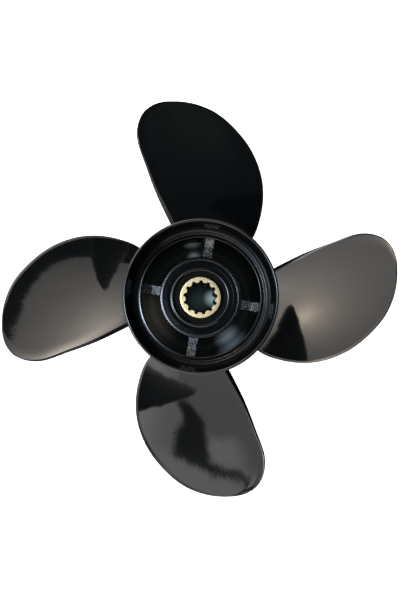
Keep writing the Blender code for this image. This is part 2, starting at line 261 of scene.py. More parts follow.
def aft_lip(finish, place):
    """The lip at the aft end of the inner hub."""
    radius, height = off_axis(finish, place)
    outside = finish.above(radius, LIP_INSIDE + 0.15 * MM, 0.3 * MM)
    return outside * finish.above(height, CORE_AFT - 1.5 * MM, 1.0 * MM)


# %% Paint
DARK_PAINT = (0.0018, 0.0023, 0.0026, 1.0)
PALE_PAINT = (0.0026, 0.0029, 0.003, 1.0)
GROUND_WAVE = 0.1 * MM
SPRAYED_WAVE = 0.017 * MM
ROUGHNESS_OF_GRAIN = 120.0


def gloss_paint(name, rough_place=None, grain_depth=0.0, bare=0.008):
    """Black gloss paint. Where rough_place is one, it is thin over a grain of this depth."""
    finish = Finish(name)
    place = finish.place()
    ground = finish.noise(place, 55.0, 1.0)
    sprayed = finish.noise(place, 420.0, 2.0)
    tone = finish.noise(place, 18.0, 3.0)
    colour = finish.mix(tone, DARK_PAINT, PALE_PAINT)
    gloss = finish.step(tone, 0.3, 0.7, 0.05, 0.08)
    surface = finish.bump(ground, GROUND_WAVE)
    surface = finish.bump(sprayed, SPRAYED_WAVE, surface)
    if rough_place is not None:
        rough = rough_place(finish, place)
        grain = finish.noise(place, 900.0, 3.0, 0.7)
        worn = finish.step(finish.noise(place, 620.0, 3.0, 0.7), 0.42, 0.7) * rough
        colour = finish.mix(worn, colour, (bare, bare, bare, 1.0))
        gloss = gloss + rough * (ROUGHNESS_OF_GRAIN * grain_depth)
        surface = finish.bump(grain * rough, grain_depth, surface)
    finish.feed(finish.shader, {"Base Color": colour, "Normal": surface, "Roughness": gloss})
    return finish.material


blade_paint = gloss_paint("blade_paint")
barrel_paint = gloss_paint("barrel_paint", outer_ledge, 0.055 * MM)
core_paint = gloss_paint("inner_hub_paint", aft_lip, 0.15 * MM)
rough_paint = gloss_paint("rib_paint", everywhere, 0.35 * MM, 0.1)
paints = (blade_paint, barrel_paint, core_paint, rough_paint)
print("nodes in the paints:", {paint.name: len(paint.node_tree.nodes) for paint in paints})

# %% [markdown]
# ## Rubber and brass
# The bush is moulded rubber, dull and nearly black. The sleeve is brass with a bright, freshly
# faced end, and the walls of its bore are painted dark as shade. The painted shade could be a
# second material on the faces of the bore. A mask on the height does the same without a seam
# at the edge.

# %% Rubber and brass
DARK_RUBBER = (0.004, 0.004, 0.004, 1.0)
PALE_RUBBER = (0.008, 0.008, 0.008, 1.0)
DARK_BRASS = (0.54, 0.4, 0.2, 1.0)
PALE_BRASS = (0.65, 0.52, 0.3, 1.0)
# Painted shade: the dark colour of the walls of the sleeve's bore.
BORE_SHADE = (0.02, 0.017, 0.013, 1.0)


def moulded_rubber():
    finish = Finish("moulded_rubber")
    grain = finish.noise(finish.place(), 900.0, 3.0)
    colour = finish.mix(grain, DARK_RUBBER, PALE_RUBBER)
    finish.feed(finish.shader, {"Base Color": colour, "Roughness": 0.7, "Specular IOR Level": 0.03})
    finish.feed(finish.shader, {"Normal": finish.bump(grain, 0.05 * MM)})
    return finish.material


def machined_brass():
    finish = Finish("machined_brass")
    place = finish.place()
    tone = finish.noise(place, 260.0, 3.0)
    height = off_axis(finish, place)[1]
    # Painted shade: the walls of the bore below the faced end are darkened.
    painted_bore_shade = finish.below(height, SLEEVE_AFT - 0.45 * MM, 0.5 * MM)
    colour = finish.mix(painted_bore_shade, finish.mix(tone, DARK_BRASS, PALE_BRASS), BORE_SHADE)
    finish.feed(finish.shader, {"Base Color": colour, "Metallic": 1.0, "Roughness": 0.38})
    finish.feed(finish.shader, {"Normal": finish.bump(tone, 0.02 * MM)})
    return finish.material


rubber_finish = moulded_rubber()
brass_finish = machined_brass()
print("made", rubber_finish.name, "and", brass_finish.name)

# %% [markdown]
# ## Turning a bmesh into a piece
# Every piece ends the same way: smooth shading with sharp creases, a place in the scene, the
# body that it rides on and the slot of its finish, and the solids that it stands for are hidden.
# Smooth shading alone would smear a narrow rounding over the wide band beside it. Weighted
# normals keep the wide bands of a turned piece flat.

# %% Finish a piece


def add_piece(name, sheet, finish, nodes, crease=40.0, flat_faces=True):
    mesh = bpy.data.meshes.new(name)
    sheet.to_mesh(mesh)
    sheet.free()
    mesh.shade_smooth()
    mesh.set_sharp_from_angle(angle=math.radians(crease))
    mesh.materials.append(finish)
    piece = bpy.data.objects.new(name, mesh)
    bpy.context.scene.collection.objects.link(piece)
    if flat_faces:
        weighted = piece.modifiers.new("large faces stay flat", "WEIGHTED_NORMAL")
        weighted.keep_sharp = True
    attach(piece, "root")
    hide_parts(*nodes)
    mesh.calc_loop_triangles()
    print(name, len(mesh.loop_triangles), "triangles")
    return piece


# %% [markdown]
# ## Lofting ring by ring
# A blade has a different section at every radius, so it can't be spun, and a mirrored or
# subdivided box would never get its screw surface. It is lofted: one circle of vertices is
# extruded once for each section and then moved onto it. A whole number is stored on each
# vertex, so that it finds its own seat again after every extrusion.

# %% Loft


def loft(rings, closed=False):
    """A tube of quads through rings of equally many points. Closed, its ends meet."""
    sheet = bmesh.new()
    seat = sheet.verts.layers.int.new("seat")
    start = bmesh.ops.create_circle(sheet, segments=len(rings[0]), radius=1.0)["verts"]
    for number, vert in enumerate(start):
        vert[seat] = number
        vert.co = rings[0][number]
    first_edges = list(sheet.edges)
    edges = first_edges
    for ring in rings[1:]:
        grown = bmesh.ops.extrude_edge_only(sheet, edges=edges)["geom"]
        fresh = {item for item in grown if isinstance(item, bmesh.types.BMVert)}
        edges = [item for item in grown if isinstance(item, bmesh.types.BMEdge)]
        edges = [edge for edge in edges if fresh.issuperset(edge.verts)]
        for vert in fresh:
            vert.co = ring[vert[seat]]
    if closed:
        bmesh.ops.bridge_loops(sheet, edges=first_edges + edges)
    return sheet


def close_ends(sheet):
    """Fill what is still open, and point every face outwards."""
    open_edges = [edge for edge in sheet.edges if edge.is_boundary]
    bmesh.ops.holes_fill(sheet, edges=open_edges, sides=0)
    bmesh.ops.triangulate(sheet, faces=[face for face in sheet.faces if len(face.verts) > 4])
    bmesh.ops.recalc_face_normals(sheet, faces=sheet.faces)
    return sheet


def turn_to_place(sheet, first_angle, number):
    """Turn a mesh round the shaft axis, to one of four places a quarter turn apart."""
    turn = math.radians(first_angle + 360.0 / BLADE_COUNT * number)
    bmesh.ops.rotate(sheet, verts=sheet.verts, cent=(0, 0, 0), matrix=Matrix.Rotation(turn, 3, "Z"))


# %% [markdown]
# ## The shape of a blade
# A propeller is drawn as sections on cylinders round its shaft. Each section lies on a screw
# surface of one pitch. The face that looks aft is slightly hollow and the back is arched.
# Inboard the trailing edge is cut off blunt, and outboard it is thin and bent aft as a cup. The
# leading edge has a shallow bevel. All this comes from formulas and from the two edges, which
# are given as angles at eight stations, because gloss paint shows every dent of a shape that
# was pushed about by hand. The stations run from the tip to the hub. Where the blunt edge ends
# and the cup starts is given as a share of the tip radius.

# %% Blade sizes
FIRST_BLADE_ANGLE = 7.84
TIP_RADIUS = 147.4 * MM
PITCH = 342.0 * MM
RAKE_ANGLE = 13.5
MID_CHORD_HEIGHT = 57.5 * MM
OUTLINE_STATIONS = (0.0, 0.2, 0.35, 0.5, 0.65, 0.8, 0.9, 1.0)
LEADING_EDGE_ANGLES = (0.0, -11.6, -19.4, -28.5, -37.4, -45.2, -49.5, -49.4)
TRAILING_EDGE_ANGLES = (0.0, 7.7, 11.6, 14.1, 14.5, 14.4, 12.6, 9.3)
ROOT_THICKNESS = 11.0 * MM
TIP_THICKNESS = 3.4 * MM
LEADING_EDGE_THICKNESS = 2.8 * MM
BLUNT_EDGE_THICKNESS = 4.8 * MM
OUTER_EDGE_THICKNESS = 2.4 * MM
BLUNT_EDGE_ROUNDING = 0.5 * MM
BLUNT_EDGE_END = 0.42
THIN_EDGE_START = 0.9
CUP_START = 0.36
CUP_FULL = 0.62
CUP_CLOSING = 0.985
CUP_HEIGHT = 0.9 * MM
CUP_LENGTH = 9.0 * MM
FACE_HOLLOW = 0.006
ROOT_FILLET = 6.5 * MM
ROOT_SINK = 1.5 * MM
FLARE_FOLLOWED = 12.0 * MM
CHORD_STEPS = 40
EDGE_STEPS = 12
EDGE_BEVEL_WIDTH = 3.2 * MM
EDGE_BEVEL_SHARE = 0.35
EDGE_SLOPE_REACH = 0.2 * MM
LARGEST_NOSE = 0.3
LARGEST_TAIL = 0.2
SPAN_STEPS = 84
FILLET_STEPS = 10


# %% Small helpers


def blend(start, end, share):
    return start + (end - start) * share


def smooth_step(low, high, value):
    share = min(max((value - low) / (high - low), 0.0), 1.0)
    return share * share * (3.0 - 2.0 * share)


def smooth_value(stations, values, place):
    """The value at a place between stations, on a cubic through the given values."""
    last = len(stations) - 1
    index = 0
    while index < last - 1 and place > stations[index + 1]:
        index += 1

    def slope(at):
        before = max(at - 1, 0)
        after = min(at + 1, last)
        return (values[after] - values[before]) / (stations[after] - stations[before])

    width = stations[index + 1] - stations[index]
    share = (place - stations[index]) / width
    rest = 1.0 - share
    start = values[index] * (1.0 + 2.0 * share) * rest**2
    start += slope(index) * width * share * rest**2
    end = values[index + 1] * (3.0 - 2.0 * share) * share**2
    end -= slope(index + 1) * width * share**2 * rest
    return start + end


def barrel_radius(height):
    """Outer radius of the hub: straight at first, then one arc that flares out to the rim."""
    rise = RIM_RADIUS - BARREL_RADIUS
    run = HUB_LENGTH - FLARE_START
    flare_radius = (run * run + rise * rise) / (2.0 * rise)
    past = max(height - FLARE_START, 0.0)
    return BARREL_RADIUS + flare_radius - math.sqrt(flare_radius**2 - past**2)


# %% One section of a blade


def tip_closing(radius):
    """Thickness factor that closes the last millimetres at the tip in a round edge."""
    short = 1.0 - min((TIP_RADIUS - radius) / (TIP_THICKNESS / 2.0), 1.0)
    return math.sqrt(max(1.0 - short * short, 0.0))


def edge_angle(radius, angles):
    """Where an edge of the blade is at this radius, in radians round the shaft."""
    station = math.sqrt(max(TIP_RADIUS - radius, 0.0) / (TIP_RADIUS - BARREL_RADIUS))
    return math.radians(smooth_value(OUTLINE_STATIONS, angles, station))


def bevel_reach(radius, chord):
    """The length along the chord that crosses the bevelled edge, which runs aslant to it."""
    before = min(radius, TIP_RADIUS - EDGE_SLOPE_REACH) - EDGE_SLOPE_REACH
    after = before + 2.0 * EDGE_SLOPE_REACH
    turn = edge_angle(after, LEADING_EDGE_ANGLES) - edge_angle(before, LEADING_EDGE_ANGLES)
    slope = radius * turn / (after - before)
    return min(EDGE_BEVEL_WIDTH * math.hypot(1.0, slope), LARGEST_NOSE * chord)


def round_drop(share):
    """How far a round edge has gone down, at this share of the way to its middle."""
    return 1.0 - math.sqrt(max(1.0 - share**2, 0.0))


def bevel_drop(share):
    """The same for an edge that begins as a shallow bevel."""
    return blend(round_drop(share**2), share, EDGE_BEVEL_SHARE)


def blade_section(radius):
    """A section laid flat: (along the chord, out of the face, outward direction) points."""
    share = (radius - BARREL_RADIUS) / (TIP_RADIUS - BARREL_RADIUS)
    pitch_angle = math.atan2(PITCH, 2.0 * math.pi * radius)
    leading = edge_angle(radius, LEADING_EDGE_ANGLES)
    trailing = edge_angle(radius, TRAILING_EDGE_ANGLES)
    chord = (trailing - leading) * radius / math.cos(pitch_angle)
    closing = tip_closing(radius)
    sink = (1.0 - closing) * TIP_THICKNESS / 2.0
    outboard = smooth_step(BLUNT_EDGE_END, THIN_EDGE_START, radius / TIP_RADIUS)
    tail_thickness = blend(BLUNT_EDGE_THICKNESS, OUTER_EDGE_THICKNESS, outboard) * closing
    nose_thickness = LEADING_EDGE_THICKNESS * closing
    thickness = blend(ROOT_THICKNESS, TIP_THICKNESS, max(share, 0.0) ** 0.8) * closing
    nose = bevel_reach(radius, chord)
    tail = min(blend(BLUNT_EDGE_ROUNDING, tail_thickness / 2.0, outboard), LARGEST_TAIL * chord)
    swell = thickness - (nose_thickness + tail_thickness) / 2.0
    cup = CUP_HEIGHT * smooth_step(CUP_START, CUP_FULL, radius / TIP_RADIUS)
    cup *= min((1.0 - radius / TIP_RADIUS) / (1.0 - CUP_CLOSING), 1.0)

    def face(along):
        x = along / chord
        bent = max(1.0 - (chord - along) / CUP_LENGTH, 0.0)
        return cup * bent**2 - FACE_HOLLOW * chord * 4.0 * x * (1.0 - x) - sink

    def depth(along):
        x = (along - nose) / (chord - nose - tail)
        return blend(nose_thickness, tail_thickness, x) + swell * 4.0 * x * (1.0 - x)

    def end_points(middle, reach, thickness, start, drop):
        points = []
        for step in range(1, EDGE_STEPS):
            turn = start - 180.0 * step / EDGE_STEPS
            across = math.cos(math.radians(turn))
            along = middle + reach * across
            gone = drop(abs(across)) / 2.0
            lift = -gone if math.sin(math.radians(turn)) > 0.0 else gone - 1.0
            points.append((along, face(along) + lift * thickness, turn))
        return points

    shares = [(1.0 - math.cos(math.pi * index / CHORD_STEPS)) / 2.0 for index in range(CHORD_STEPS + 1)]
    places = [blend(nose, chord - tail, share) for share in shares]
    outline = [(along, face(along), 90.0) for along in places]
    outline += end_points(chord - tail, tail, tail_thickness, 90.0, round_drop)
    outline += [(along, face(along) - depth(along), -90.0) for along in reversed(places)]
    outline += end_points(nose, nose, nose_thickness, -90.0, bevel_drop)
    return leading, pitch_angle, outline


# %% [markdown]
# ## Wrapping the sections and the root fillet
# A flat section is wrapped round its cylinder. Blade and barrel could be joined by a boolean
# and the corner then bevelled, but on a screw surface such a bevel often breaks up. Here the
# section grows on all sides by a quarter circle near the hub, which is the cast fillet. It meets
# the barrel without a corner, and its last ring is sunk a little, so that no seam shows.

# %% Blade pieces


def wrap(radius, leading, pitch_angle, along, out):
    around = leading * radius + along * math.cos(pitch_angle) - out * math.sin(pitch_angle)
    rake = (radius - BARREL_RADIUS) * math.tan(math.radians(RAKE_ANGLE))
    base = MID_CHORD_HEIGHT + rake + leading * PITCH / (2.0 * math.pi)
    height = base + along * math.sin(pitch_angle) + out * math.cos(pitch_angle)
    angle = around / radius
    near = 1.0 - smooth_step(0.0, FLARE_FOLLOWED, radius - BARREL_RADIUS)
    reach = radius + (barrel_radius(height) - BARREL_RADIUS) * near
    return Vector((reach * math.cos(angle), reach * math.sin(angle), height))


def section_ring(radius, fillet):
    leading, pitch_angle, outline = blade_section(radius)
    ring = []
    for along, out, turn in outline:
        along += fillet * math.cos(math.radians(turn))
        out += fillet * math.sin(math.radians(turn))
        ring.append(wrap(radius, leading, pitch_angle, along, out))
    return ring


def blade_rings():
    rings = [section_ring(BARREL_RADIUS - ROOT_SINK, ROOT_FILLET)]
    for step in range(FILLET_STEPS):
        turn = math.pi / 2.0 * step / FILLET_STEPS
        radius = BARREL_RADIUS + ROOT_FILLET * (1.0 - math.cos(turn))
        rings.append(section_ring(radius, ROOT_FILLET * (1.0 - math.sin(turn))))
    inner = math.sqrt((TIP_RADIUS - BARREL_RADIUS - ROOT_FILLET) / (TIP_RADIUS - BARREL_RADIUS))
    for step in range(SPAN_STEPS):
        station = inner * (1.0 - step / SPAN_STEPS)
        rings.append(section_ring(TIP_RADIUS - (TIP_RADIUS - BARREL_RADIUS) * station**2, 0.0))
    return rings


def make_blade(number, rings):
    sheet = close_ends(loft(rings))
    turn_to_place(sheet, FIRST_BLADE_ANGLE, number)
    node = f"blade_{number + 1}"
    return add_piece(f"cast_{node}", sheet, blade_paint, [node], 60.0, False)


blade_shape = blade_rings()
for number in range(BLADE_COUNT):
    make_blade(number, blade_shape)

# %% [markdown]
# ## Turned shapes
# The barrel, the inner hub and the bush are turned shapes. Each starts as a few points of its
# outline, whose corners are rounded with a vertex bevel before the outline is spun. A Bevel
# modifier after the spin would round all edges alike, and here every corner has its own radius.

# %% Spin an outline
ROUND_STEPS = 180


def spun(outline, steps=ROUND_STEPS):
    """A closed outline of (radius, height, rounding) points, spun round the shaft axis."""
    sheet = bmesh.new()
    verts = [sheet.verts.new((radius, 0.0, height)) for radius, height, _ in outline]
    for index, vert in enumerate(verts):
        sheet.edges.new((vert, verts[(index + 1) % len(verts)]))
    roundings = {vert: point[2] for vert, point in zip(verts, outline) if point[2] > 0.0}
    for size in sorted(set(roundings.values())):
        chosen = [vert for vert, rounding in roundings.items() if rounding == size]
        bmesh.ops.bevel(
            sheet, geom=chosen, offset=size, offset_type="OFFSET", affect="VERTICES",
            segments=4, profile=0.5, material=-1,
        )
    bmesh.ops.spin(
        sheet, geom=sheet.verts[:] + sheet.edges[:], cent=(0, 0, 0), axis=(0, 0, 1),
        angle=2.0 * math.pi, steps=steps, use_merge=True,
    )
    bmesh.ops.remove_doubles(sheet, verts=sheet.verts, dist=0.001 * MM)
    bmesh.ops.recalc_face_normals(sheet, faces=sheet.faces)
    return sheet


# %% [markdown]
# ## The barrel and its flared ring
# On the real casting the flared ring runs on from the barrel. Inside, the wide cone of the
# ring steps in over a ledge to the bore. The ledge has two bands: the inner one was turned and
# falls a little outwards, the outer one is a step higher, was left as cast and rises to the
# cone. Two pieces would show a seam in the gloss, so one turned piece stands for both solids.

# %% Barrel
RIM_WIDTH = 2.1 * MM
RIM_ROUNDING = 1.5 * MM
CONE_RADIUS = 50.2 * MM
CONE_HEIGHT = 94.0 * MM
LEDGE_STEP = 1.0 * MM
LEDGE_RISE = 0.15 * MM
LEDGE_FALL = 0.45 * MM
FLARE_STEPS = 24


def barrel_outline():
    """Up the outside from the front rim, then down the inside from the aft rim."""
    outline = [(BARREL_RADIUS, 0.0, RIM_ROUNDING)]
    heights = [blend(FLARE_START, HUB_LENGTH, step / FLARE_STEPS) for step in range(FLARE_STEPS)]
    outline += [(barrel_radius(height), height, 0.0) for height in heights]
    outline += [
        (RIM_RADIUS, HUB_LENGTH, RIM_ROUNDING),
        (RIM_RADIUS - RIM_WIDTH, HUB_LENGTH, 0.5 * MM),
        (CONE_RADIUS, CONE_HEIGHT, 0.0),
        (LEDGE_RADIUS, LEDGE_HEIGHT + LEDGE_STEP + LEDGE_RISE, 0.35 * MM),
        (LEDGE_GROOVE + 0.2 * MM, LEDGE_HEIGHT + LEDGE_STEP, 0.2 * MM),
        (LEDGE_GROOVE, LEDGE_HEIGHT, 0.15 * MM),
        (BARREL_BORE, LEDGE_HEIGHT + LEDGE_FALL, 0.55 * MM),
        (BARREL_BORE, 0.0, 1.0 * MM),
    ]
    return outline


add_piece("cast_barrel", spun(barrel_outline()), barrel_paint, ["hub_barrel", "diffuser_ring"])

# %% [markdown]
# ## The inner hub
# The inner hub is a cone that widens forward. Its aft end has a lip that falls a little
# outwards, a face that was turned a little deeper than the lip, with a fine step half way, and a
# round ridge at the bore of the bush. They are tenths of a millimetre, but the thin bright
# circles of the real one are their edges, so they are shaped and not drawn by the material.

# %% Inner hub
BORE_CHAMFER = 1.6 * MM
FACE_SINK = 0.45 * MM
LIP_FALL = 0.4 * MM
TOOL_STEP_RADIUS = 24.5 * MM
RIDGE_FOOT_RADIUS = 22.1 * MM
RIDGE_RADIUS = 21.0 * MM
RIDGE_HEIGHT = 0.4 * MM


def core_radius(height):
    """Outer radius of the inner hub's cone."""
    return blend(CORE_AFT_RADIUS, CORE_FRONT_RADIUS, (CORE_AFT - height) / (CORE_AFT - CORE_FRONT))


def core_outline():
    """Up the outside, over the lip, the face and the ridge, and down the bore."""
    face = CORE_AFT - FACE_SINK
    return [
        (CORE_FRONT_RADIUS, CORE_FRONT, 1.0 * MM),
        (CORE_AFT_RADIUS, CORE_AFT - LIP_FALL, 0.6 * MM),
        (LIP_INSIDE + 0.4 * MM, CORE_AFT, 0.2 * MM),
        (LIP_INSIDE, face, 0.15 * MM),
        (TOOL_STEP_RADIUS + 0.3 * MM, face, 0.1 * MM),
        (TOOL_STEP_RADIUS, face - 0.04 * MM, 0.0),
        (RIDGE_FOOT_RADIUS, face - 0.1 * MM, 0.2 * MM),
        (RIDGE_RADIUS, face + RIDGE_HEIGHT, 0.6 * MM),
        (CORE_BORE, face - 0.15 * MM, 0.3 * MM),
        (CORE_BORE, CORE_FRONT + BORE_CHAMFER, 0.3 * MM),
        (CORE_BORE + BORE_CHAMFER, CORE_FRONT, 0.3 * MM),
    ]


add_piece("cast_inner_hub", spun(core_outline()), core_paint, ["inner_hub"])

# %% [markdown]
# ## The ribs
# Four ribs hold the inner hub in the barrel. A rib could be a bevelled box, but it widens into a
# fillet where it meets either wall, so it is lofted outwards from the inner hub to the barrel.
# Its aft edge falls a little outwards, as the lip does, and its outer part slopes up to the
# barrel. The slope is wider on one rib than on the others.

# %% Ribs
RIB_WIDTH = 7.0 * MM
FIRST_RIB_ANGLE = 80.4
RIB_FRONT = 8.0 * MM
RIB_AFT = 72.8 * MM
RIB_FALL_ANGLE = 10.0
RIB_SLOPE_WIDTHS = (4.6 * MM, 6.9 * MM, 4.6 * MM, 4.6 * MM)
RIB_SLOPE_RISE = 3.2 * MM
RIB_FILLET = 0.8 * MM
RIB_EDGE = 0.5 * MM
RIB_SINK = 1.5 * MM
RIB_END_SINK = 0.4 * MM
RIB_STEPS = 28


def quarter_rise(distance, reach):
    """Height of a hollow quarter circle of this reach, at a distance from its wall."""
    if distance >= reach:
        return 0.0
    return reach - math.sqrt(max(reach**2 - (reach - max(distance, 0.0)) ** 2, 0.0))


def rib_ring(radius, low_inner, high_inner, slope_width):
    """One upright section of a rib as a ring, with small rounded corners."""
    outer_distance = BARREL_BORE - radius
    fall = (min(radius, BARREL_BORE - slope_width) - CORE_AFT_RADIUS) * math.tan(math.radians(RIB_FALL_ANGLE))
    top = RIB_AFT - fall + RIB_SLOPE_RISE * max(1.0 - outer_distance / slope_width, 0.0)
    ring = []
    corners = ((1, RIB_FRONT, -90.0), (1, top, 0.0), (-1, top, 90.0), (-1, RIB_FRONT, 180.0))
    for side_sign, height, first_turn in corners:
        wall = blend(low_inner, high_inner, (height - RIB_FRONT) / (RIB_AFT - RIB_FRONT))
        half = RIB_WIDTH / 2.0 + quarter_rise(outer_distance, RIB_FILLET)
        half += quarter_rise(radius - wall, RIB_FILLET)
        inward = 1.0 if height == RIB_FRONT else -1.0
        for step in range(4):
            turn = math.radians(first_turn + 30.0 * step)
            x = side_sign * (half - RIB_EDGE) + RIB_EDGE * math.cos(turn)
            z = height + inward * RIB_EDGE + RIB_EDGE * math.sin(turn)
            ring.append(Vector((radius, x, z)))
    return ring


def make_rib(number):
    low_inner, high_inner = core_radius(RIB_FRONT), core_radius(RIB_AFT)
    start, end = high_inner - RIB_SINK, BARREL_BORE + RIB_END_SINK
    radii = [blend(start, end, step / RIB_STEPS) for step in range(RIB_STEPS + 1)]
    rings = [rib_ring(radius, low_inner, high_inner, RIB_SLOPE_WIDTHS[number]) for radius in radii]
    sheet = close_ends(loft(rings))
    turn_to_place(sheet, FIRST_RIB_ANGLE, number)
    node = f"rib_{number + 1}"
    return add_piece(f"cast_{node}", sheet, rough_paint, [node])


for number in range(BLADE_COUNT):
    make_rib(number)

# %% [markdown]
# ## The rubber bush
# Only its end ring shows, between the brass and the ridge of the inner hub. A flat ring would
# do, but rubber shrinks as it sets, so it draws in a little between the two walls that it is
# bonded to.

# %% Bush
BUSH_SAG = 0.6 * MM
BUSH_STEPS = 120


def bush_outline():
    inner, outer = SLEEVE_RADIUS, CORE_BORE
    low, high = bush_box[0].z, bush_box[1].z
    return [
        (outer, low, 0.0),
        (outer, high, 0.0),
        (blend(outer, inner, 0.25), high - BUSH_SAG, 0.6 * MM),
        (blend(outer, inner, 0.75), high - BUSH_SAG, 0.6 * MM),
        (inner, high, 0.0),
        (inner, low, 0.0),
    ]


add_piece("moulded_bush", spun(bush_outline(), BUSH_STEPS), rubber_finish, ["rubber_bush"])

# %% [markdown]
# ## The splined sleeve
# The sleeve takes the splines of the engine's shaft. Its teeth could be cut by a boolean with a
# toothed bar, which leaves long thin faces. It is lofted instead, as closed rings that go up its
# outside, over the aft end, down the toothed bore and out through the taper seat. A ring has
# twelve points for each tooth, and the bore's rings move in and out with the teeth.

# %% Sleeve
SPLINE_TEETH = 13
SPLINE_MINOR_RADIUS = 11.1 * MM
SPLINE_MAJOR_RADIUS = 12.7 * MM
SPLINE_NOTCH_SHARE = 0.46
SPLINE_FLANK = 0.14
FIRST_NOTCH_ANGLE = 88.0
TAPER_SEAT_RADIUS = 13.2 * MM
TAPER_SEAT_DEPTH = 9.0 * MM
SLEEVE_CHAMFER = 0.35 * MM
POINTS_PER_TOOTH = 12


def sleeve_ring(height, radius, toothed):
    """A ring of the sleeve. Toothed is 0 for a plain circle and 1 for the full teeth."""
    ring = []
    notch_end = (SPLINE_NOTCH_SHARE - SPLINE_FLANK) / 2.0
    for number in range(SPLINE_TEETH * POINTS_PER_TOOTH):
        offset = number / POINTS_PER_TOOTH
        across = abs((offset + 0.5) % 1.0 - 0.5)
        tooth = smooth_step(notch_end, notch_end + SPLINE_FLANK, across)
        bore = blend(SPLINE_MAJOR_RADIUS, SPLINE_MINOR_RADIUS, tooth)
        reach = blend(radius, bore, toothed)
        angle = math.radians(FIRST_NOTCH_ANGLE) + offset * 2.0 * math.pi / SPLINE_TEETH
        ring.append(Vector((reach * math.cos(angle), reach * math.sin(angle), height)))
    return ring


def make_sleeve():
    edge = SLEEVE_CHAMFER
    seat_end = SLEEVE_FRONT + TAPER_SEAT_DEPTH
    stops = (
        (SLEEVE_FRONT, SLEEVE_RADIUS - edge / 2.0, 0.0),
        (SLEEVE_FRONT + edge / 2.0, SLEEVE_RADIUS, 0.0),
        (SLEEVE_AFT - edge, SLEEVE_RADIUS, 0.0),
        (SLEEVE_AFT - 0.3 * edge, SLEEVE_RADIUS - 0.3 * edge, 0.0),
        (SLEEVE_AFT, SLEEVE_RADIUS - edge, 0.0),
        (SLEEVE_AFT, SPLINE_MAJOR_RADIUS + 0.3 * MM, 0.0),
        (SLEEVE_AFT, SPLINE_MAJOR_RADIUS, 1.0),
        (seat_end, SPLINE_MAJOR_RADIUS, 1.0),
        (seat_end - 0.1 * MM, SPLINE_MAJOR_RADIUS, 0.0),
        (SLEEVE_FRONT, TAPER_SEAT_RADIUS, 0.0),
    )
    sheet = loft([sleeve_ring(*stop) for stop in stops], closed=True)
    bmesh.ops.recalc_face_normals(sheet, faces=sheet.faces)
    return add_piece("brass_sleeve", sheet, brass_finish, ["splined_sleeve"], 30.0)


make_sleeve()

# %% [markdown]
# ## The floor
# The photograph shows no shadow: the propeller was cut out and set on white. The floor here
# glows a little, as a light table does, so it stays white below the blades as well. It is
# left out of the reflections, because gloss paint shows what really stood round it. Inside
# the barrel a white floor would shine up through the passages. There it is a disc of its own,
# coloured and glowing dark as painted shade. On it are painted spots of light: a faint one
# under the bore, blue ones at one side of the bore and below two of the passages, and a brown
# one below a third.

# %% Floor
FLOOR_RADIUS = 4.0
FLOOR_STEPS = 96
DARK_PAPER = (0.89, 0.89, 0.89, 1.0)
PALE_PAPER = (0.91, 0.91, 0.91, 1.0)
SHADE_RADIUS = 46.5 * MM
# Painted shade: the dark colour and glow of the floor inside the barrel.
SHADE = (0.0035, 0.0042, 0.0042, 1.0)
# Painted light: glowing spots on that floor, each as x, y, reach and tint.
PAINTED_FLOOR_LIGHTS = (
    (0.0, 0.0, 0.0145, (0.012, 0.02, 0.02, 1.0)),
    (0.0115, 0.0015, 0.0095, (0.22, 0.3, 0.33, 1.0)),
    (0.0225, -0.0292, 0.0145, (0.1, 0.135, 0.16, 1.0)),
    (-0.0045, 0.036, 0.008, (0.12, 0.15, 0.15, 1.0)),
    (-0.037, -0.014, 0.032, (0.022, 0.02, 0.017, 1.0)),
)


def add_floor(name, sheet, finish):
    mesh = bpy.data.meshes.new(name)
    sheet.to_mesh(mesh)
    sheet.free()
    mesh.materials.append(finish.material)
    floor = bpy.data.objects.new(name, mesh)
    bpy.context.scene.collection.objects.link(floor)
    print(name, "reaches", round(max(vert.co.x for vert in mesh.vertices), 3), "m from the shaft")
    return floor


def make_floor():
    sheet = bmesh.new()
    for radius in (SHADE_RADIUS, FLOOR_RADIUS):
        bmesh.ops.create_circle(sheet, segments=FLOOR_STEPS, radius=radius)
    bmesh.ops.bridge_loops(sheet, edges=sheet.edges)
    finish = Finish("pale_floor")
    paper = finish.noise(finish.place(), 300.0)
    white = finish.mix(paper, DARK_PAPER, PALE_PAPER)
    finish.feed(finish.shader, {"Base Color": white, "Roughness": 0.9})
    finish.feed(finish.shader, {"Emission Color": white, "Emission Strength": 1.0})
    floor = add_floor("floor", sheet, finish)
    floor.visible_glossy = False
    return floor


def make_shaded_floor():
    sheet = bmesh.new()
    bmesh.ops.create_circle(sheet, segments=FLOOR_STEPS, radius=SHADE_RADIUS, cap_ends=True)
    finish = Finish("shaded_floor")
    place = finish.place()
    # Painted light: each spot adds its glow to the painted shade.
    glow = SHADE
    for x, y, reach, tint in PAINTED_FLOOR_LIGHTS:
        away = finish.vector("DISTANCE", place, (x, y, 0.0))
        glow = finish.mix(finish.step(away, reach, 0.0), glow, tint, "ADD")
    finish.feed(finish.shader, {"Base Color": SHADE, "Roughness": 0.9})
    finish.feed(finish.shader, {"Emission Color": glow, "Emission Strength": 1.0})
    return add_floor("shaded_floor", sheet, finish)


make_floor()
make_shaded_floor()

# %% [markdown]
# ## Soft light from three sides
# Gloss black paint has hardly any colour of its own. It is a dark mirror, so its look is made
# by what stands round it. Pale panels stand on the left, at the far side and at the near side.
# The right has only a faint glow, and there is nothing overhead but a patch of daylight, high on
# the left. Area lamps would light the brass as well, but their edges can't be bent to the shapes
# that the blades mirror. So all this is drawn in the world, by compass turn and rise in degrees:
# a turn of 0 is to the left of the picture, 90 is towards its lower edge. What the camera sees
# directly stays plain white.

# %% Directions


